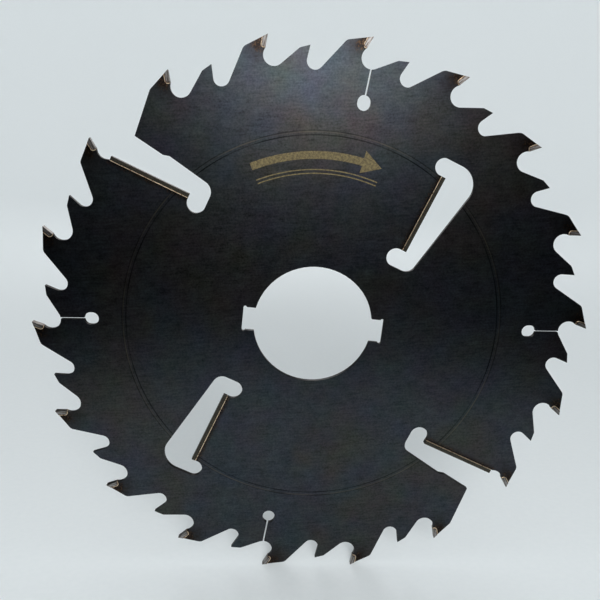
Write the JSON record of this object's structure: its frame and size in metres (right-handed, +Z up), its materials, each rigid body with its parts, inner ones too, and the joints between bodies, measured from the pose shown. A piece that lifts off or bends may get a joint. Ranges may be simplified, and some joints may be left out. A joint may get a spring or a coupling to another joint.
{
  "type": "circular saw blade",
  "caption": "Multi-rip circular saw blade with carbide teeth, plain limiter teeth, raker strips beside closed and open slots, expansion slits and a keyed bore.",
  "frame": {"origin": "middle of the bore, half way through the plate", "axes": "+Y along the bore axis, away from the face whose teeth cut clockwise; +Z up, with the blade standing on two neighbouring teeth; first tooth on +X"},
  "size_m": [0.35, 0.0038, 0.3446],
  "materials": {
    "plate_steel": "hardened and blued plate, fine ground grain, heat tint at the brazed seats",
    "tip_carbide": "ground tungsten carbide, satin silver grey",
    "raker_carbide": "tungsten carbide strip, darkened by the brazing",
    "solder": "silver solder, pale gold, slightly lumpy"
  },
  "bodies": {
    "root": {"plate": "plate_steel", "carbide_tip_01": "tip_carbide", "carbide_tip_02": "tip_carbide", "carbide_tip_03": "tip_carbide", "carbide_tip_04": "tip_carbide", "carbide_tip_05": "tip_carbide", "carbide_tip_06": "tip_carbide", "carbide_tip_07": "tip_carbide", "carbide_tip_08": "tip_carbide", "carbide_tip_09": "tip_carbide", "carbide_tip_10": "tip_carbide", "carbide_tip_11": "tip_carbide", "carbide_tip_12": "tip_carbide", "carbide_tip_13": "tip_carbide", "carbide_tip_14": "tip_carbide", "carbide_tip_15": "tip_carbide", "carbide_tip_16": "tip_carbide", "carbide_tip_17": "tip_carbide", "carbide_tip_18": "tip_carbide", "tip_braze_01": "solder", "tip_braze_02": "solder", "tip_braze_03": "solder", "tip_braze_04": "solder", "tip_braze_05": "solder", "tip_braze_06": "solder", "tip_braze_07": "solder", "tip_braze_08": "solder", "tip_braze_09": "solder", "tip_braze_10": "solder", "tip_braze_11": "solder", "tip_braze_12": "solder", "tip_braze_13": "solder", "tip_braze_14": "solder", "tip_braze_15": "solder", "tip_braze_16": "solder", "tip_braze_17": "solder", "tip_braze_18": "solder", "inner_raker_1": "raker_carbide", "inner_raker_2": "raker_carbide", "outer_raker_1": "raker_carbide", "outer_raker_2": "raker_carbide", "inner_raker_1_braze": "solder", "inner_raker_2_braze": "solder", "outer_raker_1_braze": "solder", "outer_raker_2_braze": "solder"}
  },
  "joints": []
}
